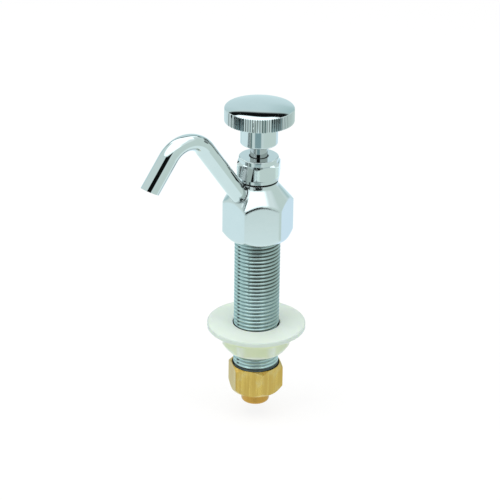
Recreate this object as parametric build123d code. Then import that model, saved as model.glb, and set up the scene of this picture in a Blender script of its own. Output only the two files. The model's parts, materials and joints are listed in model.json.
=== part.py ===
from build123d import *
import math
import os

# Dipper well faucet: a small deck-mounted tap for a running-water utensil well.
# The origin is on the tap's axis at the deck, under the hexagon of the valve body.
# Z points up and the spout reaches towards minus Y. All sizes are in millimetres.

# Valve body
body_across_flats = 28.6
body_edge_radius = 0.8
body_hex_height = 16.9
body_cone_height = 8.9
body_neck_wall = 2.6
body_neck_height = 1.55
body_foot_inset = 0.2
body_foot_chamfer = 2.6
body_web_thickness = 3.0
chamber_step = 0.85
port_radius = 2.4
port_floor_margin = 0.2

# Threaded shank, drawn at the crest of its thread
shank_radius = 10.6
shank_bore_radius = 5.5
shank_length = 73.6
shank_end_chamfer = 0.9

# Removable seat
seat_flange_clearance = 0.2
seat_flange_lap = 0.44
seat_flange_thickness = 0.8
seat_rim_inset = 0.6
seat_rim_width = 0.55
seat_rim_height = 0.7
seat_key_margin = 0.175
seat_ring_wire = 0.76
seat_ring_clearance = 0.02

# Spout
spout_diameter = 8.6
spout_wall = 0.85
spout_rise_angle = 53.9
spout_fall_angle = 52.4
spout_bend_radius = 12.4
spout_bend_flattening = 1.4
spout_bend_spread = 0.5
spout_crest_reach = 40.8
spout_fall_reach = 20.3
spout_cut_angle = 61.0
spout_socket_wall = 0.7
spout_collar_clearance = 0.4
spout_root_fillet = 0.5

# Bonnet
bonnet_flat_stand_out = 0.425
bonnet_turn = 16.2
bonnet_edge_radius = 1.0
bonnet_collar_overhang = 0.25
bonnet_collar_height = 1.9
bonnet_collar_chamfer = 0.4
bonnet_hex_height = 7.3
bonnet_hex_low_chamfer = 1.6
bonnet_hex_top_chamfer = 1.25
bonnet_cap_height = 2.2
bonnet_cap_inset = 0.1
bonnet_cap_edge_radius = 0.5
bonnet_spigot_wall = 1.55
bonnet_spigot_clearance = 0.13
bonnet_shoulder_depth = 4.7
gasket_thickness = 0.35

# Stem and its seals
stem_radius = 3.97
stem_running_clearance = 0.05
stem_thread_depth = 0.73
stem_thread_clearance = 0.1
stem_thread_stand_off = 1.47
stem_rise = 2.54
stem_stop_clearance = 0.06
stem_foot_radius = 3.3
stem_foot_thickness = 1.7
stem_neck_radius = 2.55
stem_flat_depth = 0.37
stem_flat_margin = 0.42
stem_end_chamfer = 0.4
stem_ring_wire = 0.9
stem_ring_groove_width = 1.0
stem_ring_shoulder = 0.2
stem_ring_clearance = 0.03
wiper_width = 0.5
wiper_depth = 0.8
wiper_recess = 0.15
thrust_washer_thickness = 0.6

# Seat washer, its swivelling holder and its screw
washer_thickness = 2.2
washer_stand_out = 1.0
holder_clearance = 0.4
holder_wall = 0.6
holder_floor = 2.0
holder_lip = 1.2
swivel_clearance = 0.1
seat_screw_radius = 1.4
seat_screw_roof = 0.5
seat_screw_head_clearance = 0.45
seat_screw_head_height = 0.9
seat_screw_slot_width = 0.6
seat_screw_slot_depth = 0.45

# Knob
knob_gap = 6.2
knob_hub_radius = 8.55
knob_hub_height = 10.95
knob_hub_edge_radius = 0.7
knob_rim_radius = 15.875
knob_rim_height = 6.35
knob_rim_chamfer = 0.35
knob_rim_low_chamfer = 0.1
knob_crown = 2.0
knob_serration_pitch = 1.108
knob_serration_depth = 0.35
knob_roof = 4.3
set_screw_radius = 2.08
set_screw_recess = 0.65
set_screw_height = 5.2
set_screw_azimuth = 141.0
set_screw_key = 2.0
set_screw_key_depth = 1.8

# Deck nut, moulded plastic
deck_nut_gap = 7.9
deck_nut_clearance = 0.2
deck_flange_width = 5.0
deck_flange_thickness = 2.2
deck_flange_edge_radius = 0.4
deck_collar_ledge = 2.18
deck_collar_height = 3.45
deck_hex_wall = 2.9
deck_hex_height = 7.5
deck_hex_chamfer = 1.3
deck_hex_edge_radius = 0.6
deck_bore_chamfer = 0.45
deck_nut_turn = 51.7

# Coupling nut, coupling washer and tailpiece
coupling_wall = 0.77
coupling_turn = 36.5
coupling_engagement = 7.8
coupling_web = 2.1
coupling_clearance = 0.08
coupling_top_chamfer = 1.3
coupling_low_chamfer = 2.2
coupling_bore_chamfer = 0.5
coupling_washer_thickness = 1.5
coupling_washer_bore = 5.2
tail_flange_inset = 0.8
tail_flange_thickness = 1.8
tail_radius = 6.6
tail_length = 8.9
tail_socket_radius = 4.8
tail_socket_depth = 9.5
tail_bore_radius = 4.0
tail_edge_radius = 1.3

# One overrun serves every cut
overrun = 1.0

# Widths that follow outwards from the stem
stem_thread_radius = stem_radius + stem_thread_depth
bonnet_bore_radius = stem_thread_radius + stem_thread_clearance
bonnet_spigot_radius = bonnet_bore_radius + bonnet_spigot_wall
body_neck_radius = bonnet_spigot_radius + body_neck_wall
bonnet_collar_radius = body_neck_radius + bonnet_collar_overhang
bonnet_cap_radius = bonnet_collar_radius - bonnet_cap_inset
bonnet_flat = bonnet_cap_radius + bonnet_flat_stand_out

# Widths that follow inwards from the chamber
chamber_radius = bonnet_spigot_radius - chamber_step
holder_radius = chamber_radius - holder_clearance
washer_radius = holder_radius - holder_wall
seat_flange_radius = chamber_radius - seat_flange_clearance
seat_thread_radius = seat_flange_radius - seat_flange_lap - seat_ring_wire
seat_rim_radius = washer_radius - seat_rim_inset
seat_key_corner = seat_rim_radius - seat_rim_width - seat_key_margin
seat_key_flat = seat_key_corner * math.sqrt(3) / 2
seat_screw_head_radius = seat_key_flat - seat_screw_head_clearance

# Heights that follow upwards from the deck
neck_base = body_hex_height + body_cone_height
body_top = neck_base + body_neck_height
bonnet_base = body_top + gasket_thickness
hex_base = bonnet_base + bonnet_collar_height
cap_base = hex_base + bonnet_hex_height
bonnet_top = cap_base + bonnet_cap_height
bonnet_shoulder = bonnet_top - bonnet_shoulder_depth
knob_base = bonnet_top + knob_gap
rim_base = knob_base + knob_hub_height
rim_top = rim_base + knob_rim_height


def turned(*outline):
    """Solid of revolution about Z of a closed outline of (radius, height) corners."""
    return revolve(Plane.XZ * make_face(Polyline(*outline, close=True)), Axis.Z)


def ring(inner, outer, bottom, top):
    """Plain ring, or a disc where the inner radius is zero."""
    return turned((inner, bottom), (outer, bottom), (outer, top), (inner, top))


def wire_ring(middle_radius, wire, height):
    """Round-section sealing ring."""
    return Pos(0, 0, height) * Torus(middle_radius, wire / 2)


def corner_radius(flat):
    """Distance from the axis to the corners of a hexagon, from that to its flats."""
    return 2 * flat / math.sqrt(3)


def hexagon_bar(flat, bottom, top, turn=0, edge_radius=0):
    """Hexagonal prism with a corner on X before it is turned."""
    bar = extrude(RegularPolygon(corner_radius(flat), 6), top - bottom)
    if edge_radius:
        bar = fillet(bar.edges().filter_by(Axis.Z), edge_radius)
    return Pos(0, 0, bottom) * Rot(0, 0, turn) * bar


# Line of the spout's rising leg
# It passes just under the lower edge of the bonnet's collar, and from there its height
# over the body's axis follows.
rise = math.radians(spout_rise_angle)
fall = math.radians(spout_fall_angle)
spout_radius = spout_diameter / 2
collar_edge = bonnet_collar_radius - bonnet_collar_chamfer
spout_axis_height = (
    bonnet_base - collar_edge * math.tan(rise) - (spout_radius + spout_collar_clearance) / math.cos(rise)
)


def spout_height(reach):
    """Height of the rising leg's axis at a reach from the body's axis."""
    return spout_axis_height + reach * math.tan(rise)


def along_rise(reach, radius, start_reach):
    """Cylinder on the rising leg's axis between two reaches."""
    length = (reach - start_reach) / math.cos(rise)
    direction = (0, -math.cos(rise), math.sin(rise))
    plane = Plane(origin=(0, -start_reach, spout_height(start_reach)), z_dir=direction)
    return extrude(plane * Circle(radius), length)


# Chamber, seat and shank follow from where the spout's port enters the chamber
spout_reach = spout_crest_reach + spout_fall_reach
port_low_edge = spout_height(chamber_radius) - port_radius / math.cos(rise)
chamber_floor = port_low_edge - port_floor_margin
shank_top = chamber_floor - body_web_thickness
seat_top = chamber_floor + seat_flange_thickness + seat_rim_height
spout_root = bonnet_spigot_radius + spout_socket_wall + spout_radius * math.sin(rise)

# Stack of the moving parts with the valve shut
washer_top = seat_top + washer_thickness
holder_base = seat_top + washer_stand_out
socket_base = washer_top + holder_floor
seat_screw_top = socket_base - seat_screw_roof
foot_base = socket_base + swivel_clearance
foot_top = foot_base + stem_foot_thickness
socket_top = foot_top + swivel_clearance
holder_top = socket_top + holder_lip
thread_base = holder_top + stem_thread_stand_off
thread_top = bonnet_shoulder - thrust_washer_thickness - stem_rise - stem_stop_clearance
groove_base = bonnet_shoulder + stem_ring_shoulder
stem_top = rim_top - knob_roof
screw_centre = knob_base + set_screw_height

# The bonnet's spigot ends just above the holder with the valve open
spigot_base = holder_top + stem_rise + bonnet_spigot_clearance


def valve_body():
    """Hexagon turned to a cone and a neck, with a slanting spout socket in a small fillet."""
    flat = body_across_flats / 2
    foot = flat - body_foot_inset
    corner = corner_radius(flat)
    blank_top = bonnet_base + bonnet_collar_height
    blank = turned(
        (0, 0),
        (foot, 0),
        (foot + body_foot_chamfer, body_foot_chamfer),
        (corner, body_hex_height),
        (body_neck_radius, neck_base),
        (body_neck_radius, blank_top),
        (0, blank_top),
    )
    blank &= hexagon_bar(flat, 0, blank_top, edge_radius=body_edge_radius)
    stub = along_rise(spout_crest_reach, spout_radius, spout_root)
    seam = new_edges(blank, stub, combined=blank + stub)
    body = fillet(seam, spout_root_fillet) - stub
    body -= ring(0, corner, body_top, blank_top + overrun)
    body -= along_rise(spout_root + overrun, port_radius, chamber_radius - port_radius / 2)
    body -= ring(0, shank_radius, -overrun, shank_top)
    body -= ring(0, seat_thread_radius, -overrun, chamber_floor)
    body -= ring(0, seat_thread_radius + seat_ring_wire, chamber_floor - seat_ring_wire, chamber_floor)
    body -= ring(0, chamber_radius, chamber_floor, spigot_base)
    return body - ring(0, bonnet_spigot_radius, spigot_base, body_top + overrun)


def threaded_shank():
    """Externally threaded inlet pipe, screwed into the body up to the web."""
    shank = ring(shank_bore_radius, shank_radius, -shank_length, shank_top)
    low_edge = shank.edges().filter_by(GeomType.CIRCLE).sort_by(Axis.Z)[0:2].sort_by(SortBy.RADIUS)[-1]
    return chamfer(low_edge, shank_end_chamfer)


def seat_insert():
    """Brass seat: threaded sleeve, flange, raised rim and a hexagonal keyway."""
    rim_base_height = chamber_floor + seat_flange_thickness
    seat = ring(0, seat_thread_radius, shank_top, chamber_floor)
    seat += ring(0, seat_flange_radius, chamber_floor, rim_base_height)
    seat += ring(0, seat_rim_radius, rim_base_height, seat_top)
    seat -= ring(0, seat_rim_radius - seat_rim_width, rim_base_height, seat_top + overrun)
    return seat - hexagon_bar(seat_key_flat, shank_top - overrun, seat_top)


def seat_o_ring():
    """Sealing ring under the flange of the seat."""
    wire = seat_ring_wire - 2 * seat_ring_clearance
    return wire_ring(seat_thread_radius + seat_ring_wire / 2, wire, chamber_floor - seat_ring_wire / 2)


def spout_bar(path, inset):
    """Solid bar along the spout, round in its legs and flattened in the bend."""
    radius = spout_radius - inset
    middle = (radius + spout_bend_spread / 2, radius - spout_bend_flattening / 2)
    bar = None
    for run in path.edges():
        start = Plane(origin=run @ 0, z_dir=run % 0, x_dir=(1, 0, 0))
        if run.geom_type == GeomType.LINE:
            stretch = extrude(start * Circle(radius), run.length)
        else:
            crown = Plane(origin=run @ 0.5, z_dir=run % 0.5, x_dir=(1, 0, 0))
            end = Plane(origin=run @ 1, z_dir=run % 1, x_dir=(1, 0, 0))
            sections = [start * Circle(radius), crown * Ellipse(*middle), end * Circle(radius)]
            stretch = sweep(sections, path=run, multisection=True)
        bar = stretch if bar is None else bar + stretch
    return bar


def spout_tube():
    """Bent tube: a rising leg, one bend and a falling leg with a slanting cut."""
    crest = (0, -spout_crest_reach, spout_height(spout_crest_reach))
    outlet = (0, -spout_reach, crest[2] - spout_fall_reach * math.tan(fall))
    beyond = spout_fall_reach + spout_diameter
    far_end = (0, -spout_crest_reach - beyond, crest[2] - beyond * math.tan(fall))
    root = (0, -spout_root, spout_height(spout_root))
    path = FilletPolyline(root, crest, far_end, radius=spout_bend_radius)
    tube = spout_bar(path, 0) - spout_bar(path, spout_wall)
    cut = math.radians(spout_cut_angle)
    outlet_plane = Plane(origin=outlet, z_dir=(0, math.cos(cut), math.sin(cut)))
    return split(tube, bisect_by=outlet_plane, keep=Keep.TOP)


def bonnet_gasket():
    """Fibre ring between the neck and the bonnet, clear of the spout."""
    outer = collar_edge - gasket_thickness / math.tan(rise)
    return ring(bonnet_spigot_radius, outer, body_top, bonnet_base)


def bonnet_nut():
    """Hexagonal bonnet with a spigot below and a round collar and cap."""
    flat = bonnet_flat
    corner = corner_radius(flat)
    outline = turned(
        (0, spigot_base),
        (bonnet_spigot_radius, spigot_base),
        (bonnet_spigot_radius, bonnet_base),
        (collar_edge, bonnet_base),
        (bonnet_collar_radius, bonnet_base + bonnet_collar_chamfer),
        (bonnet_collar_radius, hex_base),
        (flat, hex_base),
        (corner, hex_base + bonnet_hex_low_chamfer),
        (corner, cap_base - bonnet_hex_top_chamfer),
        (bonnet_cap_radius, cap_base),
        (bonnet_cap_radius, bonnet_top),
        (0, bonnet_top),
    )
    bonnet = outline & hexagon_bar(flat, spigot_base, bonnet_top, bonnet_turn, bonnet_edge_radius)
    bonnet = fillet(bonnet.edges().filter_by(GeomType.CIRCLE).sort_by(Axis.Z)[-1], bonnet_cap_edge_radius)
    bonnet -= ring(0, bonnet_bore_radius, spigot_base - overrun, bonnet_shoulder)
    bonnet -= ring(0, stem_radius + stem_running_clearance, bonnet_shoulder, bonnet_top)
    recess = stem_radius + stem_running_clearance + wiper_width
    return bonnet - ring(0, recess, bonnet_top - wiper_depth, bonnet_top + overrun)


def stem_wiper():
    """Rubber ring in the top of the bonnet, around the stem."""
    inner = stem_radius + stem_running_clearance
    return ring(inner, inner + wiper_width, bonnet_top - wiper_depth, bonnet_top - wiper_recess)


def thrust_washer():
    """Plastic washer under the bonnet's shoulder, the stop of the stem's thread."""
    inner = stem_radius + stem_thread_clearance
    outer = stem_thread_radius
    return ring(inner, outer, bonnet_shoulder - thrust_washer_thickness, bonnet_shoulder)


def seat_washer():
    """Rubber disc that shuts on the seat."""
    return ring(seat_screw_radius, washer_radius, seat_top, washer_top)


def washer_holder():
    """Cup that holds the seat washer and swivels on the stem's foot."""
    holder = ring(0, holder_radius, holder_base, holder_top)
    holder -= ring(0, washer_radius, holder_base - overrun, washer_top)
    holder -= ring(0, seat_screw_radius, washer_top, seat_screw_top)
    holder -= ring(0, stem_foot_radius + swivel_clearance, socket_base, socket_top)
    return holder - ring(0, stem_neck_radius + swivel_clearance, socket_top, holder_top + overrun)


def seat_screw():
    """Slotted screw that clamps the seat washer in its holder."""
    head_base = seat_top - seat_screw_head_height
    screw = ring(0, seat_screw_radius, seat_top, seat_screw_top)
    screw += ring(0, seat_screw_head_radius, head_base, seat_top)
    slot = Box(2 * seat_screw_head_radius + overrun, seat_screw_slot_width, 2 * seat_screw_slot_depth)
    return screw - Pos(0, 0, head_base) * slot


def stem():
    """Spindle with a swivel foot, an operating thread, a ring groove and a flat."""
    groove_radius = stem_radius - stem_ring_wire
    spindle = turned(
        (0, foot_base),
        (stem_foot_radius, foot_base),
        (stem_foot_radius, foot_top),
        (stem_neck_radius, foot_top),
        (stem_neck_radius, thread_base),
        (stem_thread_radius, thread_base),
        (stem_thread_radius, thread_top),
        (stem_radius, thread_top),
        (stem_radius, groove_base),
        (groove_radius, groove_base),
        (groove_radius, groove_base + stem_ring_groove_width),
        (stem_radius, groove_base + stem_ring_groove_width),
        (stem_radius, stem_top - stem_end_chamfer),
        (stem_radius - stem_end_chamfer, stem_top),
        (0, stem_top),
    )
    flat = Box(2 * stem_radius, 2 * stem_radius, 2 * (set_screw_radius + stem_flat_margin))
    flat = Pos(2 * stem_radius - stem_flat_depth, 0, screw_centre) * flat
    return spindle - Rot(0, 0, set_screw_azimuth) * flat


def stem_o_ring():
    """Sealing ring in the groove of the stem."""
    wire = stem_ring_wire - stem_ring_clearance
    middle = stem_radius - wire / 2
    return wire_ring(middle, wire, groove_base + stem_ring_groove_width / 2)


def serrated_rim():
    """Bar with straight serrations all round, as long as the knob's rim."""
    count = round(2 * math.pi * knob_rim_radius / knob_serration_pitch)
    root = knob_rim_radius - knob_serration_depth
    corners = []
    for step in range(count):
        crest_angle = 2 * math.pi * step / count
        root_angle = crest_angle + math.pi / count
        corners.append((knob_rim_radius * math.cos(crest_angle), knob_rim_radius * math.sin(crest_angle)))
        corners.append((root * math.cos(root_angle), root * math.sin(root_angle)))
    bar = extrude(make_face(Polyline(*corners, close=True)), knob_rim_height + knob_crown)
    return Pos(0, 0, rim_base) * bar


def knob_screw_place(piece):
    """Puts a piece made along Z on the axis of the knob's set screw."""
    return Rot(0, 0, set_screw_azimuth) * Pos(0, 0, screw_centre) * Rot(0, 90, 0) * piece


def knob():
    """Domed knob with a serrated rim, a hub and a blind bore for the stem."""
    edge = knob_rim_radius - knob_rim_chamfer
    half = Polyline(
        (edge, rim_top),
        (knob_rim_radius, rim_top - knob_rim_chamfer),
        (knob_rim_radius, rim_base + knob_rim_low_chamfer),
        (knob_rim_radius - knob_rim_low_chamfer, rim_base),
        (0, rim_base),
        (0, rim_top + knob_crown),
    )
    sphere = (edge**2 + knob_crown**2) / (2 * knob_crown)
    lean = math.asin(edge / sphere) / 2
    middle = (sphere * math.sin(lean), rim_top + knob_crown - sphere * (1 - math.cos(lean)))
    dome = ThreePointArc((0, rim_top + knob_crown), middle, (edge, rim_top))
    head = revolve(Plane.XZ * make_face(half + dome), Axis.Z) & serrated_rim()
    hub = ring(0, knob_hub_radius, knob_base, rim_base)
    hub = fillet(hub.edges().sort_by(Axis.Z)[0], knob_hub_edge_radius)
    body = head + hub
    body -= ring(0, stem_radius, knob_base - overrun, stem_top)
    return body - knob_screw_place(ring(0, set_screw_radius, 0, 2 * knob_hub_radius))


def knob_set_screw():
    """Socket set screw in the hub, against the flat of the stem."""
    end = knob_hub_radius - set_screw_recess
    screw = ring(0, set_screw_radius, stem_radius - stem_flat_depth, end)
    screw -= hexagon_bar(set_screw_key / 2, end - set_screw_key_depth, end + overrun)
    return knob_screw_place(screw)


# Stack of the inlet coupling, downwards from the end of the shank
washer_base = -shank_length - coupling_washer_thickness
tail_flange_base = washer_base - tail_flange_thickness
tail_end = tail_flange_base - tail_length
coupling_top = -shank_length + coupling_engagement
coupling_base = tail_flange_base - coupling_web
tail_flange_radius = shank_radius - tail_flange_inset


def deck_nut():
    """Flanged plastic nut that clamps the deck from below."""
    hex_bottom = coupling_top + deck_nut_gap
    collar_base = hex_bottom + deck_hex_height
    flange_base = collar_base + deck_collar_height
    top = flange_base + deck_flange_thickness
    bore = shank_radius + deck_nut_clearance
    flat = bore + deck_hex_wall
    corner = corner_radius(flat)
    collar_radius = corner + deck_collar_ledge
    flange = ring(0, collar_radius + deck_flange_width, flange_base, top)
    flange = fillet(flange.edges().filter_by(GeomType.CIRCLE), deck_flange_edge_radius)
    grip = turned(
        (0, hex_bottom),
        (flat, hex_bottom),
        (corner, hex_bottom + deck_hex_chamfer),
        (corner, collar_base),
        (0, collar_base),
    )
    grip &= hexagon_bar(flat, hex_bottom, collar_base, deck_nut_turn, deck_hex_edge_radius)
    nut = flange + ring(0, collar_radius, collar_base, flange_base) + grip
    return nut - turned(
        (0, hex_bottom - overrun),
        (bore, hex_bottom - overrun),
        (bore, top - deck_bore_chamfer),
        (bore + deck_bore_chamfer + overrun, top + overrun),
        (0, top + overrun),
    )


def coupling_washer():
    """Fibre washer between the shank's end and the tailpiece."""
    return ring(coupling_washer_bore, tail_flange_radius, washer_base, -shank_length)


def tailpiece():
    """Flanged solder tailpiece, with a socket for the supply tube below."""
    socket_end = tail_end + tail_socket_depth
    piece = ring(0, tail_radius, tail_end, tail_flange_base)
    piece = fillet(piece.edges().sort_by(Axis.Z)[0], tail_edge_radius)
    piece += ring(0, tail_flange_radius, tail_flange_base, washer_base)
    piece -= ring(0, tail_socket_radius, tail_end - overrun, socket_end)
    return piece - ring(0, tail_bore_radius, socket_end, washer_base + overrun)


def coupling_nut():
    """Hexagonal union nut that draws the tailpiece against the shank."""
    bore = shank_radius + coupling_clearance
    flat = bore + coupling_wall
    corner = corner_radius(flat)
    outline = turned(
        (0, coupling_base),
        (flat, coupling_base),
        (corner, coupling_base + coupling_low_chamfer),
        (corner, coupling_top - coupling_top_chamfer),
        (flat, coupling_top),
        (0, coupling_top),
    )
    nut = outline & hexagon_bar(flat, coupling_base, coupling_top, coupling_turn)
    nut -= turned(
        (0, tail_flange_base),
        (bore, tail_flange_base),
        (bore, coupling_top - coupling_bore_chamfer),
        (bore + coupling_bore_chamfer + overrun, coupling_top + overrun),
        (0, coupling_top + overrun),
    )
    return nut - ring(0, tail_radius + coupling_clearance, coupling_base - overrun, tail_flange_base)


pieces = [
    valve_body,
    threaded_shank,
    seat_insert,
    seat_o_ring,
    spout_tube,
    bonnet_gasket,
    bonnet_nut,
    stem_wiper,
    thrust_washer,
    seat_washer,
    washer_holder,
    seat_screw,
    stem,
    stem_o_ring,
    knob,
    knob_set_screw,
    deck_nut,
    coupling_washer,
    tailpiece,
    coupling_nut,
]

os.makedirs("parts", exist_ok=True)
for piece in pieces:
    solid = piece()
    export_step(solid, f"parts/{piece.__name__}.step")
    size = solid.bounding_box().size
    print(f"{piece.__name__}: {size.X:.2f} x {size.Y:.2f} x {size.Z:.2f} mm, {solid.volume:.1f} mm3")
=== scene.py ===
import json
import math

import bmesh
import bpy
from mathutils import Matrix, Vector


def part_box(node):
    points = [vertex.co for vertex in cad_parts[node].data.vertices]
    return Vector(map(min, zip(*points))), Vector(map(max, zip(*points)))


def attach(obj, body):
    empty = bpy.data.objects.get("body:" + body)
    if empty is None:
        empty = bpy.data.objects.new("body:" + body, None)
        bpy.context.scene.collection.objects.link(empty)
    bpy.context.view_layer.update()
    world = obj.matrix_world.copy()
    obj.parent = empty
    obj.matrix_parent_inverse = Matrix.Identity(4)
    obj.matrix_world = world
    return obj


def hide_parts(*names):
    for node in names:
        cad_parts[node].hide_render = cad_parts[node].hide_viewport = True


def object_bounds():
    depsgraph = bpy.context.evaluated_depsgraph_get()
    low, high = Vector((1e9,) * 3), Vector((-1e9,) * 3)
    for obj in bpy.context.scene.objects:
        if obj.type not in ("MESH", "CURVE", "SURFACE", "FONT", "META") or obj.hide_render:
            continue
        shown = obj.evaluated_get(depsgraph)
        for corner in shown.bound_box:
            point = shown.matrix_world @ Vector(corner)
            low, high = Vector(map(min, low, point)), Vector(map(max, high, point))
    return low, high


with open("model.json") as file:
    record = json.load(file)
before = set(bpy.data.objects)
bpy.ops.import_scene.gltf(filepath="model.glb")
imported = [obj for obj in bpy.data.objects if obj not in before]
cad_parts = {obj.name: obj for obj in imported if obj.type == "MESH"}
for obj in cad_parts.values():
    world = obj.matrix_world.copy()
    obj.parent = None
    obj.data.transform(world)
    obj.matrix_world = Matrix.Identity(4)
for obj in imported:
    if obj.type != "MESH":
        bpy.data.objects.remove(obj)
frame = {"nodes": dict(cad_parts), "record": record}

MM = 0.001
cad_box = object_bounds()
nodes = frame["nodes"]
scene = bpy.context.scene

# Camera, placed from the photograph's viewpoint, with its angles in degrees
FOCAL_PIXELS = 2300
IMAGE_PIXELS = 500
SENSOR_WIDTH = 36
CAMERA_AZIMUTH = 51.2
CAMERA_ELEVATION = 25.0
CAMERA_ROLL = 0.8
CAMERA_DISTANCE = 1060 * MM
CAMERA_AIM = Vector((-2.13, -2.65, -8.11)) * MM

# Direction from the tap's axis to the camera, in degrees from +X: bearings count from here
FRONT_AZIMUTH = CAMERA_AZIMUTH - 90

# Inlet thread of the shank: 14 turns to the inch
THREAD_PITCH = 25.4 / 14 * MM
THREAD_DEPTH = 0.85 * MM
THREAD_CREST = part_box("threaded_shank")[1].x
SHANK_BORE = 5.5 * MM
SHANK_CHAMFER = 0.9 * MM

# Share of a pitch by which the helix starts above the shank's foot
THREAD_START = 0.14

# Thread profile over one pitch: share of the pitch and share of the depth
THREAD_SHARES = (
    (0, 0), (0.12, 0), (0.20, 0.08), (0.44, 0.90), (0.52, 1), (0.64, 1), (0.72, 0.90), (0.93, 0.08),
)

# Mesh of the thread: columns round the axis, distance at which points merge, and angle in
# degrees past which an edge stays sharp
THREAD_COLUMNS = 128
MERGE_DISTANCE = 0.0005 * MM
THREAD_SHARP_ANGLE = 75

# How far the tailpiece drops when the coupling nut is undone
TAIL_TRAVEL = 7.3 * MM

# Radii and heights on the tap are in millimetres from here on, because the materials measure in them
CREST_RADIUS = THREAD_CREST / MM
ROOT_RADIUS = (THREAD_CREST - THREAD_DEPTH) / MM

# Painted shade in the roots of the thread, darkest away from the light: it thins out between these
# heights
ROOT_SHADE_FOOT = -34
ROOT_SHADE_TOP = -20

# Painted reflection on the thread: a narrow line of dark dots along the shank, for the dark
# reflection on its crests; its bearing and width in degrees
DARK_DOTS_BEARING = -57
DARK_DOTS_WIDTH = 6.5

# Coupling nut: its ends, the radius up to which its mouth is painted with shade, and the start of its
# corners
COUPLING_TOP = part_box("coupling_nut")[1].z / MM
COUPLING_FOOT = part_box("coupling_nut")[0].z / MM
COUPLING_MOUTH_RADIUS = CREST_RADIUS + 0.55
COUPLING_CORNER_RADIUS = 13.3

# Joint between the body's neck and the bonnet, with a line of painted shade on both sides for the
# gap's shadow
GASKET_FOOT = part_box("bonnet_gasket")[0].z / MM
GASKET_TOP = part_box("bonnet_gasket")[1].z / MM

# Distance from the axis at which the flats of the bonnet turn into its rounded corners
BONNET_CORNER_RADIUS = 10.72

# Serrated rim of the knob, under its crown
CROWN_HEIGHT = 2.0
RIM_HEIGHT = 6.35
RIM_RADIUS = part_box("knob")[1].x / MM
RIM_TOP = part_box("knob")[1].z / MM - CROWN_HEIGHT
RIM_FOOT = RIM_TOP - RIM_HEIGHT

# Deck nut: the tint of its thick lower part, partly painted shade under the flange, starts under the
# flange and fades in downwards
DECK_NUT_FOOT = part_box("deck_nut")[0].z / MM
TINT_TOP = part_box("deck_nut")[1].z / MM - 1.8
TINT_FULL = TINT_TOP - 2.5

# Deck nut: radii between which its thin corners start and end, and painted shade on its flange's edge
# starts
NUT_CORNER_START = (14.2, 15.4)
NUT_CORNER_END = (16.2, 17.0)
FLANGE_SHADE_START = (22.2, 22.8)


def make_camera():
    """The camera that looks at the tap as the photograph does."""
    azimuth, elevation, roll = (
        math.radians(angle) for angle in (CAMERA_AZIMUTH, CAMERA_ELEVATION, CAMERA_ROLL)
    )
    back = Vector((
        math.sin(azimuth) * math.cos(elevation),
        -math.cos(azimuth) * math.cos(elevation),
        math.sin(elevation),
    ))
    level = Vector((math.cos(azimuth), math.sin(azimuth), 0))
    upright = back.cross(level)
    right = level * math.cos(roll) + upright * math.sin(roll)
    up = upright * math.cos(roll) - level * math.sin(roll)
    data = bpy.data.cameras.new("camera")
    data.sensor_width = SENSOR_WIDTH
    data.lens = FOCAL_PIXELS / IMAGE_PIXELS * SENSOR_WIDTH
    data.clip_start = 0.05
    data.clip_end = 50
    camera = bpy.data.objects.new("camera", data)
    scene.collection.objects.link(camera)
    turn = Matrix((right, up, back)).transposed().to_4x4()
    camera.matrix_world = Matrix.Translation(CAMERA_AIM + back * CAMERA_DISTANCE) @ turn
    scene.camera = camera


make_camera()
scene.view_settings.view_transform = "Standard"


class Nodes:
    """Short calls for building one node tree."""

    def __init__(self, tree):
        self.tree = tree
        tree.nodes.clear()

    def add(self, kind, inputs=(), **settings):
        """New node; inputs are (socket name or index, value or output socket) pairs."""
        node = self.tree.nodes.new(kind)
        for key, value in settings.items():
            setattr(node, key, value)
        for socket, value in inputs:
            self.set(node.inputs[socket], value)
        return node

    def set(self, socket, value):
        """Links an output socket to an input, or gives the input a plain value."""
        if isinstance(value, bpy.types.NodeSocket):
            self.tree.links.new(value, socket)
        else:
            socket.default_value = value

    def math(self, operation, *values):
        """Result of one math operation."""
        return self.add("ShaderNodeMath", enumerate(values), operation=operation).outputs[0]

    def plus(self, first, second):
        """Sum of two values."""
        return self.math("ADD", first, second)

    def minus(self, first, second):
        """Difference of two values."""
        return self.math("SUBTRACT", first, second)

    def times(self, first, second):
        """Product of two values."""
        return self.math("MULTIPLY", first, second)

    def degrees(self, operation, *values):
        """Result of an operation that gives an angle, in degrees."""
        return self.times(self.math(operation, *values), 180 / math.pi)

    def split(self, vector):
        """The three parts of a vector."""
        return tuple(self.add("ShaderNodeSeparateXYZ", ((0, vector),)).outputs)

    def smooth(self, value, low, high, to_low=0.0, to_high=1.0):
        """Smooth step of a value between two limits."""
        inputs = ((0, value), (1, low), (2, high), (3, to_low), (4, to_high))
        node = self.add("ShaderNodeMapRange", inputs, interpolation_type="SMOOTHSTEP")
        return node.outputs[0]

    def within(self, value, low, high, soft):
        """1 between two limits and 0 outside them, with soft ends."""
        rise = self.smooth(value, low - soft, low + soft)
        fall = self.smooth(value, high - soft, high + soft, 1, 0)
        return self.times(rise, fall)

    def mix(self, factor, first, second):
        """Colour mix of two colours or colour sockets."""
        node = self.add("ShaderNodeMix", data_type="RGBA")
        self.set(node.inputs[0], factor)
        self.set(node.inputs[6], first)
        self.set(node.inputs[7], second)
        return node.outputs[2]

    def glow(self, kind, colour, strength):
        """Background or emission shader."""
        return self.add(kind, (("Color", colour), ("Strength", strength))).outputs[0]

    def blend(self, factor, first, second):
        """Mix of two shaders."""
        inputs = ((0, factor), (1, first), (2, second))
        return self.add("ShaderNodeMixShader", inputs).outputs[0]


def rgb(red, green, blue):
    """Colour socket value from linear red, green and blue."""
    return (red, green, blue, 1)


def seen(*channels):
    """Colour socket value from the red, green and blue of a screen, each 0 to 255."""
    shares = (channel / 255 for channel in channels)
    return rgb(*(
        share / 12.92 if share < 0.04045 else ((share + 0.055) / 1.055) ** 2.4 for share in shares
    ))


WHITE = rgb(1, 1, 1)

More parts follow.
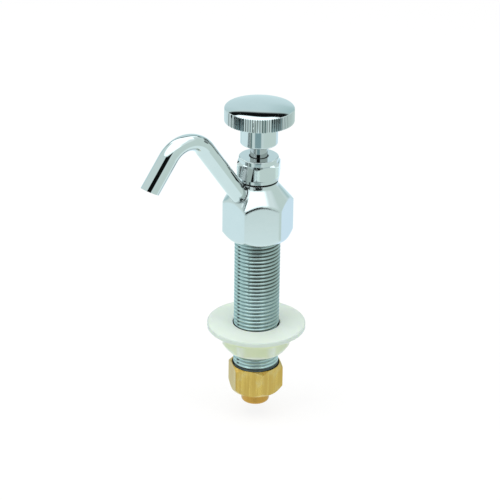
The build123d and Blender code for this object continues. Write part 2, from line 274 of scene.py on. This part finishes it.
# Studio that the polished metal shows
# Bearings are degrees to the right of the camera's side of the tap, heights are degrees
# above the horizon, and each band is a sheet or a gap of the light tent: left and right
# bearing and their softness, low and high height and their softness, and colour.
# Bearings of the far bands run past 180, and their heights follow the tent's arched seam.
TENT_STRENGTH = 1.42
TENT = seen(198, 217, 216)
BLACK = rgb(0.004, 0.005, 0.005)
OVERHEAD = rgb(1.15, 1.34, 1.36)
FRONT_BANDS = (
    (-200, 200, 1, -100, -24.5, 1.0, seen(214, 235, 236)),
    (-180, -58, 6, -30, -16, 4.0, seen(210, 233, 237)),
    (28, 128, 6, -30.5, 40, 2.5, seen(192, 212, 208)),
    (128, 190, 6, -60, 2, 8.0, seen(202, 225, 238)),
    (-200, 200, 1, 46, 100, 2.0, OVERHEAD),
    (48, 118, 12, 42, 60, 5.0, seen(214, 231, 231)),
    (-17, 24, 3, -20, 6, 1.5, BLACK),
    (-30, 18, 2.5, 3, 40, 1.5, BLACK),
    (-25, 13, 4, -22.95, -20, 0.12, seen(127, 157, 161)),
    (-25, 13, 4, -24.0, -23.34, 0.05, seen(112, 139, 138)),
    (-27, 11, 2, -21.9, -18, 0.2, BLACK),
    (-61, -43, 2, -23.6, -17, 0.3, seen(104, 130, 129)),
    (-80, -60, 3, -23.7, -22.6, 0.3, seen(129, 156, 151)),
)
FAR_BANDS = (
    (145, 225, 8, -8, 37, 3.0, seen(191, 215, 219)),
    (140, 170, 10, 20, 41, 6.0, seen(158, 188, 189)),
    (196, 225, 8, 26, 41, 5.0, seen(160, 190, 192)),
    (148, 214, 4, 39.6, 60, 1.7, BLACK),
    (148, 214, 4, 46.9, 100, 0.6, OVERHEAD),
)

# The tent's seam: its arch and its slope by bearing, and how far aside both of them reach
TENT_SEAM_ARCH = 0.034
TENT_SEAM_TILT = 0.11
TENT_SEAM_REACH = 25

# Even light that the matt surfaces get: its strength grows between two heights above the horizon
EVEN_HEIGHTS = (-30, 50)
EVEN_STRENGTHS = (0.42, 0.68)


def band_colours(n, tent, bands, bearing, height):
    """Lays bands of colour over the tent, each inside its own bearings and heights."""
    for left, right, side_soft, low, high, soft, colour in bands:
        inside = n.within(bearing, left, right, side_soft)
        tall = n.within(height, low, high, soft)
        tent = n.mix(n.times(inside, tall), tent, colour)
    return tent


def make_world():
    """White to the camera, a light tent to the metal, even soft light to the rest."""
    world = bpy.data.worlds.new("studio")
    world.use_nodes = True
    scene.world = world
    n = Nodes(world.node_tree)
    direction = n.add("ShaderNodeTexCoord").outputs["Generated"]
    turned = n.add("ShaderNodeVectorRotate", ((0, direction),), rotation_type="Z_AXIS")
    turned.inputs["Angle"].default_value = math.radians(-FRONT_AZIMUTH)
    front, right, up = n.split(turned.outputs[0])
    bearing = n.degrees("ARCTAN2", right, front)
    height = n.degrees("ARCSINE", up)
    wrapped = n.math("WRAP", bearing, 360, 0)
    aside = n.math("MAXIMUM", n.minus(wrapped, 180), -TENT_SEAM_REACH)
    aside = n.math("MINIMUM", aside, TENT_SEAM_REACH)
    arch = n.times(n.times(aside, aside), TENT_SEAM_ARCH)
    arched = n.plus(height, n.plus(arch, n.times(aside, TENT_SEAM_TILT)))
    tent = band_colours(n, TENT, FRONT_BANDS, bearing, height)
    tent = band_colours(n, tent, FAR_BANDS, wrapped, arched)
    path = n.add("ShaderNodeLightPath").outputs
    even = n.glow("ShaderNodeBackground", WHITE, n.smooth(height, *EVEN_HEIGHTS, *EVEN_STRENGTHS))
    shown = n.glow("ShaderNodeBackground", tent, TENT_STRENGTH)
    backdrop = n.glow("ShaderNodeBackground", WHITE, 1.0)
    lit = n.blend(path["Is Glossy Ray"], even, shown)
    n.add("ShaderNodeOutputWorld", ((0, n.blend(path["Is Camera Ray"], lit, backdrop)),))


make_world()

# Floor: half its width in metres, its grey, and the glow that keeps it white to the camera
FLOOR_REACH = 6.0
FLOOR_GREY = rgb(0.9, 0.9, 0.9)
FLOOR_GLOW = 1.04
FLOOR_GLOW_SHARE = 0.78


def make_floor():
    """Pale floor, as far under the tap as its tailpiece drops: white, with the tap's soft shadow."""
    height = cad_box[0].z - TAIL_TRAVEL
    signs = ((-1, -1), (1, -1), (1, 1), (-1, 1))
    corners = [(x * FLOOR_REACH, y * FLOOR_REACH, height) for x, y in signs]
    mesh = bpy.data.meshes.new("floor")
    mesh.from_pydata(corners, [], [(0, 1, 2, 3)])
    floor = bpy.data.objects.new("floor", mesh)
    scene.collection.objects.link(floor)
    material = bpy.data.materials.new("floor")
    material.use_nodes = True
    n = Nodes(material.node_tree)
    lit = n.add("ShaderNodeBsdfDiffuse", (("Color", FLOOR_GREY),)).outputs[0]
    glow = n.glow("ShaderNodeEmission", WHITE, FLOOR_GLOW)
    shown = n.blend(FLOOR_GLOW_SHARE, lit, glow)
    path = n.add("ShaderNodeLightPath").outputs
    n.add("ShaderNodeOutputMaterial", ((0, n.blend(path["Is Camera Ray"], lit, shown)),))
    mesh.materials.append(material)
    floor.visible_glossy = False


make_floor()

# Soft lamps: name, bearing and height in degrees, distance and width in metres, power in watts
LAMPS = (
    ("key_lamp", -60, 60, 1.2, 1.0, 6.5),
    ("fill_lamp", 60, 60, 1.4, 1.0, 5.5),
)


def make_lamp(name, bearing, height, distance, size, power):
    """Square soft lamp that points at the tap."""
    data = bpy.data.lights.new(name, "AREA")
    data.shape = "SQUARE"
    data.size = size
    data.energy = power
    lamp = bpy.data.objects.new(name, data)
    scene.collection.objects.link(lamp)
    azimuth = math.radians(bearing + FRONT_AZIMUTH)
    rise = math.radians(height)
    flat = math.cos(rise)
    way = Vector((math.cos(azimuth) * flat, math.sin(azimuth) * flat, math.sin(rise)))
    turn = way.to_track_quat("Z", "Y").to_matrix().to_4x4()
    lamp.matrix_world = Matrix.Translation(way * distance) @ turn
    lamp.visible_glossy = False


for lamp_values in LAMPS:
    make_lamp(*lamp_values)


def dress(n, shader, colour, roughness):
    """Gives the shader its colour and roughness."""
    n.set(shader.inputs["Base Color"], colour)
    n.set(shader.inputs["Roughness"], roughness)


def surface(name, colour, metallic, roughness):
    """New material with one Principled shader; returns it and its node helper and shader."""
    material = bpy.data.materials.new(name)
    material.use_nodes = True
    n = Nodes(material.node_tree)
    shader = n.add("ShaderNodeBsdfPrincipled")
    n.set(shader.inputs["Metallic"], metallic)
    dress(n, shader, colour, roughness)
    n.add("ShaderNodeOutputMaterial", ((0, shader.outputs[0]),))
    return material, n, shader


def let_light_in(shader, weight, radius, scale):
    """Lets light a little way into the surface."""
    shader.inputs["Subsurface Weight"].default_value = weight
    shader.inputs["Subsurface Radius"].default_value = radius
    shader.inputs["Subsurface Scale"].default_value = scale


def place(n, stretch=(1, 1, 1)):
    """Object coordinates in millimetres, stretched along the axes."""
    coordinates = n.add("ShaderNodeTexCoord").outputs["Object"]
    scale = [share / MM for share in stretch]
    return n.add("ShaderNodeMapping", ((0, coordinates), ("Scale", scale))).outputs[0]


def noise(n, vector, size, detail, roughness=0.55):
    """Noise from 0 to 1 whose blotches are about so many millimetres."""
    inputs = (("Vector", vector), ("Scale", 1 / size), ("Detail", detail), ("Roughness", roughness))
    return n.add("ShaderNodeTexNoise", inputs).outputs[0]


def bump(n, shader, height, distance, edge_radius=0):
    """Bump of so many metres from a height of 0 to 1, over edges that look rounded."""
    inputs = [("Height", height), ("Distance", distance), ("Strength", 1.0)]
    if edge_radius:
        rounded = n.add("ShaderNodeBevel", (("Radius", edge_radius),), samples=12)
        inputs.append(("Normal", rounded.outputs[0]))
    n.set(shader.inputs["Normal"], n.add("ShaderNodeBump", inputs).outputs[0])


def axis_distance(n):
    """Distance from the tap's axis in millimetres."""
    x, y, _ = n.split(place(n))
    return n.math("SQRT", n.plus(n.times(x, x), n.times(y, y)))


def axis_height(n):
    """Height above the deck plane in millimetres."""
    return n.split(place(n))[2]


def neck_painted_shade(n):
    """Painted shade at the top of the body's neck, against the gasket."""
    start, full = GASKET_FOOT - 0.4, GASKET_FOOT - 0.15
    return n.smooth(axis_height(n), start, full)


def collar_painted_shade(n):
    """Painted shade at the foot of the bonnet's collar, against the gasket."""
    full, end = GASKET_TOP + 0.05, GASKET_TOP + 0.2
    return n.smooth(axis_height(n), full, end, 1, 0)


def serration_painted_shade(n):
    """Painted shade in the bottoms of the serrations round the knob's rim."""
    shade_share = 0.6
    height = axis_height(n)
    low = n.smooth(height, RIM_FOOT + 0.1, RIM_FOOT + 0.3)
    high = n.smooth(height, RIM_TOP - 0.5, RIM_TOP - 0.3, shade_share, 0)
    bottom = n.smooth(axis_distance(n), RIM_RADIUS - 0.3, RIM_RADIUS - 0.16, 1, 0)
    return n.times(bottom, n.times(low, high))


def corner_wear_and_highlight(n):
    """Rounded corners of the bonnet's hexagon, worn dull by spanners and painted lighter as a
    highlight.
    """
    start, full = BONNET_CORNER_RADIUS - 0.60, BONNET_CORNER_RADIUS - 0.20
    return n.smooth(axis_distance(n), start, full)


def chrome(name, edge_radius=0, shade=1.0, painted_shade=None, worn=None):
    """Bright polished chrome plate with a faint polish haze, waviness and polished-down edges."""
    plain_tones = (0.60, 0.622, 0.625), (0.645, 0.65, 0.65)
    rubbed_lit_tone = rgb(0.76, 0.80, 0.80)
    painted_shade_tone = rgb(0.03, 0.035, 0.035)
    material, n, shader = surface(name, rgb(0.62, 0.635, 0.64), 1.0, 0.03)
    where = place(n)
    haze = noise(n, where, size=4.0, detail=4)
    specks = n.smooth(noise(n, where, size=0.35, detail=2), 0.66, 0.74)
    tones = (rgb(*(shade * channel for channel in tone)) for tone in plain_tones)
    colour = n.mix(haze, *tones)
    rough = n.plus(n.smooth(haze, 0.3, 0.8, 0.02, 0.045), n.times(specks, 0.05))
    # Worn places get rougher from wear, and a lighter tone that is a painted highlight on the
    # bonnet's corners
    if worn:
        rubbed_and_lit = worn(n)
        colour = n.mix(rubbed_and_lit, colour, rubbed_lit_tone)
        rough = n.plus(rough, n.times(rubbed_and_lit, 0.30))
    # Painted shade: dark lines at the gasket joint and in the knob's serrations, standing in for
    # shadow
    if painted_shade:
        colour = n.mix(painted_shade(n), colour, painted_shade_tone)
    dress(n, shader, colour, rough)
    bump(n, shader, noise(n, where, size=3.0, detail=2), 0.002 * MM, edge_radius)
    return material


def zinc():
    """Dull plated steel, rolled thread with fine tool marks: crests painted lighter on the lit side,
    roots painted with shade, a line of painted dark reflection dots and painted shade at the coupling
    nut's mouth.
    """
    crest_tones = rgb(0.33, 0.395, 0.385), rgb(0.42, 0.49, 0.475)
    lit_side_crest_tones = rgb(0.44, 0.55, 0.55), rgb(0.55, 0.66, 0.65)
    root_shade_tones = rgb(0.045, 0.062, 0.048), rgb(0.075, 0.095, 0.078)
    tool_mark = rgb(0.24, 0.30, 0.31)
    lit_root_shade = rgb(0.25, 0.38, 0.385)
    below_nut_root = rgb(0.34, 0.46, 0.46)
    below_nut_crest = rgb(0.50, 0.62, 0.62)
    dark_dots_tone = rgb(0.05, 0.07, 0.07)
    nut_mouth_shade_tone = rgb(0.02, 0.02, 0.018)
    material, n, shader = surface("satin_zinc", rgb(0.5, 0.6, 0.62), 1.0, 0.2)
    where = place(n)
    x, y, height = n.split(where)
    azimuth = n.degrees("ARCTAN2", y, x)
    dark_dots_azimuth = FRONT_AZIMUTH + DARK_DOTS_BEARING
    # Painted shade: the thread's roots are painted darker than its crests, for the shade in its
    # grooves
    depth = n.smooth(axis_distance(n), ROOT_RADIUS + 0.10, ROOT_RADIUS + 0.72)
    blotch = noise(n, where, size=2.2, detail=4)
    marks = noise(n, place(n, (0.25, 0.25, 6)), size=1.0, detail=3)
    # Crests and roots lighter below the deck nut's foot
    below_nut = n.smooth(height, DECK_NUT_FOOT - 3, DECK_NUT_FOOT + 2, 0.8, 0)

    crest = n.mix(n.smooth(marks, 0.55, 0.8, 0, 0.35), n.mix(blotch, *crest_tones), tool_mark)
    # Painted light: crests on the key lamp's side, left of the dark dots, are painted lighter
    away_from_light = n.smooth(azimuth, dark_dots_azimuth + 5, dark_dots_azimuth + 60)
    crest = n.mix(away_from_light, n.mix(blotch, *lit_side_crest_tones), crest)
    crest = n.mix(below_nut, crest, below_nut_crest)

    # Painted shade: roots darker away from the light, thinning out downwards
    root_shade = n.smooth(azimuth, dark_dots_azimuth + 8, dark_dots_azimuth + 50)
    root_shade = n.times(root_shade, n.smooth(height, ROOT_SHADE_FOOT, ROOT_SHADE_TOP, 0.25, 1))
    root = n.mix(root_shade, lit_root_shade, n.mix(blotch, *root_shade_tones))
    root = n.mix(below_nut, root, below_nut_root)
    n.set(shader.inputs["Metallic"], n.smooth(depth, 0, 0.6, 0.35, 1))

    # Painted reflection: a line of dark dots, for the dark reflection on the crests
    aside = n.math("ABSOLUTE", n.minus(azimuth, dark_dots_azimuth))
    dark_dots = n.smooth(aside, DARK_DOTS_WIDTH / 2, DARK_DOTS_WIDTH, 1, 0)
    dark_dots = n.times(dark_dots, n.smooth(depth, 0.3, 1, 1, 0.2))
    colour = n.mix(dark_dots, n.mix(depth, root, crest), dark_dots_tone)
    # Painted shade on the shank at the coupling nut's mouth, for the shadow in the gap
    nut_mouth_shade = n.smooth(height, COUPLING_TOP + 0.3, COUPLING_TOP + 1.5, 0.9, 0)
    nut_mouth_shade = n.times(nut_mouth_shade, n.smooth(height, COUPLING_TOP - 1.2, COUPLING_TOP - 0.2, 0.2, 1))
    colour = n.mix(nut_mouth_shade, colour, nut_mouth_shade_tone)
    rough = n.plus(n.smooth(blotch, 0.3, 0.7, 0.12, 0.2), n.smooth(marks, 0.4, 0.8, 0, 0.1))
    dress(n, shader, colour, rough)
    bump(n, shader, marks, 0.012 * MM)
    return material


def brass(name, light, dark, pale, roughness, streak_share):
    """Bare brass, drawn along the tap's axis: streaks, tarnish blotches and small specks.

    All brass nearer the axis than the wall of the coupling nut's mouth is painted dark as shade, down
    to the nut's foot. The chamfer at the nut's top is worn bright, and the tailpiece is tinted by
    heat.
    """
    painted_shade_tone = rgb(0.03, 0.022, 0.012)
    worn_tone = rgb(0.95, 0.72, 0.45)
    heat_tint = rgb(0.58, 0.28, 0.06)
    material, n, shader = surface(name, light, 1.0, roughness)
    where = place(n)
    height = n.split(where)[2]
    radius = axis_distance(n)
    streaks = noise(n, place(n, (1, 1, 0.06)), size=1.6, detail=5, roughness=0.65)
    blotch = noise(n, where, size=5.0, detail=5)
    specks = n.smooth(noise(n, where, size=0.5, detail=3), 0.62, 0.72)
    colour = n.mix(n.smooth(streaks, 0.42, 0.62, streak_share, 0), light, dark)
    colour = n.mix(n.smooth(blotch, 0.5, 0.75, 0, 0.4), colour, pale)
    colour = n.mix(n.times(specks, 0.35), colour, dark)

    # Painted shade inside the coupling nut's mouth
    bore_shade = n.smooth(radius, COUPLING_MOUTH_RADIUS - 0.1, COUPLING_MOUTH_RADIUS + 0.15, 1, 0)
    bore_shade = n.times(bore_shade, n.smooth(height, COUPLING_FOOT, COUPLING_FOOT + 1))
    colour = n.mix(bore_shade, colour, painted_shade_tone)
    worn = n.smooth(height, COUPLING_TOP - 2.6, COUPLING_TOP - 1.4, 0, 0.75)
    worn = n.times(worn, n.smooth(radius, COUPLING_CORNER_RADIUS, COUPLING_CORNER_RADIUS + 0.3))
    colour = n.mix(worn, colour, worn_tone)
    heat = n.smooth(height, COUPLING_FOOT - 3.5, COUPLING_FOOT - 0.2, 0.95, 0.45)
    heat = n.times(heat, n.smooth(height, COUPLING_FOOT - 0.3, COUPLING_FOOT, 1, 0))
    colour = n.mix(heat, colour, heat_tint)

    rough = n.smooth(streaks, 0.3, 0.7, roughness * 1.2, roughness * 0.8)
    dress(n, shader, colour, n.plus(rough, n.times(specks, 0.1)))
    drawn = n.plus(streaks, n.times(noise(n, where, size=0.3, detail=2), 0.5))
    bump(n, shader, drawn, 0.01 * MM)
    return material


def plastic():
    """Slightly translucent white moulding, greener where it is thick and darker there as painted
    shade under the flange, with painted shade on the flange's edge and a soft moulded grain.
    """
    white_tones = rgb(0.74, 0.83, 0.75), rgb(0.79, 0.865, 0.79)
    thick_and_shaded_tones = rgb(0.66, 0.76, 0.50), rgb(0.72, 0.80, 0.58)
    edge_shade_tone = rgb(0.62, 0.71, 0.65)
    gap_shade = rgb(0.03, 0.035, 0.03)
    thin_share = 0.75
    material, n, shader = surface("white_plastic", rgb(0.84, 0.90, 0.83), 0.0, 0.42)
    let_light_in(shader, weight=0.35, radius=(0.9, 1.0, 0.6), scale=2 * MM)
    where = place(n)
    cloud = noise(n, where, size=7.0, detail=4)
    height = n.split(where)[2]
    radius = axis_distance(n)
    # Under the flange the moulding is greener where thick, and darker as painted shade
    under = n.smooth(height, TINT_FULL, TINT_TOP, 1, 0)
    corner = n.times(n.smooth(radius, *NUT_CORNER_START), n.smooth(radius, *NUT_CORNER_END, 1, 0))
    foot = n.smooth(height, DECK_NUT_FOOT + 0.3, DECK_NUT_FOOT + 1.8, 1, 0)
    thin = n.times(n.math("MAXIMUM", corner, foot), thin_share)
    thick_and_shaded = n.times(under, n.minus(1, thin))
    colour = n.mix(thick_and_shaded, n.mix(cloud, *white_tones), n.mix(cloud, *thick_and_shaded_tones))
    # Painted shade on the flange's edge
    colour = n.mix(n.smooth(radius, *FLANGE_SHADE_START), colour, edge_shade_tone)
    gap = n.smooth(radius, CREST_RADIUS + 0.25, CREST_RADIUS + 0.45, 1, 0)
    dress(n, shader, n.mix(gap, colour, gap_shade), n.smooth(cloud, 0.3, 0.7, 0.36, 0.48))
    grain = n.plus(noise(n, where, size=0.25, detail=3), n.times(cloud, 4))
    bump(n, shader, grain, 0.012 * MM)
    return material


def rubber():
    """Black rubber with a matte bloom and mould dust."""
    black, dusty = rgb(0.008, 0.008, 0.009), rgb(0.024, 0.025, 0.027)
    material, n, shader = surface("black_rubber", rgb(0.012, 0.012, 0.012), 0.0, 0.6)
    where = place(n)
    bloom = noise(n, where, size=1.4, detail=5)
    dress(n, shader, n.mix(bloom, black, dusty), n.smooth(bloom, 0.3, 0.7, 0.45, 0.7))
    bump(n, shader, noise(n, where, size=0.12, detail=2), 0.015 * MM)
    return material


def fibre():
    """Pressed vulcanised fibre: layered, dark reddish brown."""
    dark, light = rgb(0.018, 0.012, 0.010), rgb(0.07, 0.042, 0.032)
    material, n, shader = surface("dark_fibre", rgb(0.04, 0.025, 0.02), 0.0, 0.65)
    layers = noise(n, place(n, (0.4, 0.4, 8)), size=1.0, detail=4, roughness=0.7)
    dress(n, shader, n.mix(layers, dark, light), n.smooth(layers, 0.3, 0.7, 0.55, 0.75))
    bump(n, shader, layers, 0.02 * MM)
    return material


def nylon():
    """Natural nylon, cloudy, with turning marks."""
    dark, light = rgb(0.66, 0.63, 0.53), rgb(0.78, 0.76, 0.68)
    material, n, shader = surface("nylon", rgb(0.72, 0.69, 0.60), 0.0, 0.4)
    let_light_in(shader, weight=0.3, radius=(1.0, 0.9, 0.7), scale=1 * MM)
    cloud = noise(n, place(n), size=1.6, detail=4)
    dress(n, shader, n.mix(cloud, dark, light), n.smooth(cloud, 0.3, 0.7, 0.33, 0.48))
    bump(n, shader, noise(n, place(n, (1, 1, 5)), size=0.6, detail=2), 0.008 * MM)
    return material


def oxide():
    """Black-oxide steel with worn, slightly browner patches."""
    black, worn_tone = rgb(0.022, 0.023, 0.026), rgb(0.10, 0.09, 0.08)
    material, n, shader = surface("black_steel", rgb(0.03, 0.03, 0.033), 1.0, 0.4)
    wear = noise(n, place(n), size=0.7, detail=5)
    colour = n.mix(n.smooth(wear, 0.45, 0.75), black, worn_tone)
    dress(n, shader, colour, n.smooth(wear, 0.3, 0.7, 0.32, 0.5))
    bump(n, shader, wear, 0.006 * MM)
    return material


materials = {
    "polished_chrome": chrome("polished_chrome"),
    "satin_zinc": zinc(),
    "raw_brass": brass(
        "raw_brass",
        light=rgb(0.72, 0.45, 0.12),
        dark=rgb(0.56, 0.31, 0.065),
        pale=rgb(0.70, 0.54, 0.28),
        roughness=0.3,
        streak_share=0.5,
    ),
    "machined_brass": brass(
        "machined_brass",
        light=rgb(0.60, 0.44, 0.18),
        dark=rgb(0.45, 0.30, 0.09),
        pale=rgb(0.60, 0.49, 0.25),
        roughness=0.2,
        streak_share=0.4,
    ),
    "white_plastic": plastic(),
    "black_rubber": rubber(),
    "dark_fibre": fibre(),
    "nylon": nylon(),
    "black_steel": oxide(),
}

# Chrome of the nodes that have rounded edges, painted shade at joints, in grooves and on the stem, or
# wear painted lighter as a highlight
own_chrome = {
    "valve_body": chrome("chrome_body", edge_radius=1.7 * MM, painted_shade=neck_painted_shade),
    "bonnet_nut": chrome("chrome_bonnet", painted_shade=collar_painted_shade, worn=corner_wear_and_highlight),
    "knob": chrome("chrome_knob", painted_shade=serration_painted_shade),
    # The stem's chrome is painted darker, as shade under the knob
    "stem": chrome("chrome_stem", shade=0.72),
}
node_slots = {part["node"]: part["material_slot"] for part in frame["record"]["subparts"]}
for name, node in nodes.items():
    node.data.materials.clear()
    node.data.materials.append(own_chrome.get(name, materials[node_slots[name]]))


def new_piece(name, mesh, material, body, replaced):
    """Puts a finished mesh in the scene, on its body, with its record slot's material, and hides the
    nodes it replaces.
    """
    piece = bpy.data.objects.new(name, mesh)
    scene.collection.objects.link(piece)
    mesh.materials.append(materials[material])
    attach(piece, body)
    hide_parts(*replaced)


def cleaned(mesh, sharp_angle):
    """Merges doubled points, turns the normals outwards and smooths up to an angle."""
    work = bmesh.new()
    work.from_mesh(mesh)
    bmesh.ops.remove_doubles(work, verts=work.verts, dist=MERGE_DISTANCE)
    bmesh.ops.dissolve_degenerate(work, edges=work.edges, dist=MERGE_DISTANCE)
    bmesh.ops.recalc_face_normals(work, faces=work.faces)
    work.to_mesh(mesh)
    work.free()
    mesh.shade_smooth()
    mesh.set_sharp_from_angle(angle=math.radians(sharp_angle))
    return mesh


def thread_depth(phase):
    """Depth of the thread at a share of its pitch, straight between the profile's points."""
    points = THREAD_SHARES + ((1, 0),)
    for (share, depth), (next_share, next_depth) in zip(points, points[1:]):
        if phase <= next_share:
            rise = (phase - share) / (next_share - share)
            return THREAD_DEPTH * (depth + (next_depth - depth) * rise)
    return 0


def thread_faces(count):
    """Faces between columns of so many points; the last column joins the first one a turn on."""
    faces = []
    for column in range(THREAD_COLUMNS):
        here = column * count
        there = (column + 1) % THREAD_COLUMNS * count
        step = len(THREAD_SHARES) if column == THREAD_COLUMNS - 1 else 0
        for row in range(count):
            after = (row + 1) % count
            across = [
                min(spot + step, count - 2) if 0 < spot < count - 1 else spot for spot in (row, after)
            ]
            faces.append((here + row, there + across[0], there + across[1], here + after))
    return faces


def threaded_shank():
    """The shank with its real thread: columns of points round the axis that follow the helix."""
    low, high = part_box("threaded_shank")
    rows = math.ceil((high.z - low.z) / THREAD_PITCH) + 2
    vertices = []
    for column in range(THREAD_COLUMNS):
        turned = column / THREAD_COLUMNS
        start = turned + THREAD_START
        points = [(low.z, SHANK_BORE)]
        for row in range(rows):
            for share, _ in THREAD_SHARES:
                z = low.z + (row - 1 + share + start) * THREAD_PITCH
                z = min(max(z, low.z), high.z)
                phase = ((z - low.z) / THREAD_PITCH - start) % 1
                chamfered = THREAD_CREST - SHANK_CHAMFER + z - low.z
                points.append((z, min(THREAD_CREST - thread_depth(phase), chamfered)))
        points.append((high.z, SHANK_BORE))
        angle = 2 * math.pi * turned
        vertices += [(radius * math.cos(angle), radius * math.sin(angle), z) for z, radius in points]
    mesh = bpy.data.meshes.new("shank_thread")
    mesh.from_pydata(vertices, [], thread_faces(len(vertices) // THREAD_COLUMNS))
    mesh = cleaned(mesh, THREAD_SHARP_ANGLE)
    new_piece("shank_thread", mesh, "satin_zinc", "housing", ("threaded_shank",))


threaded_shank()
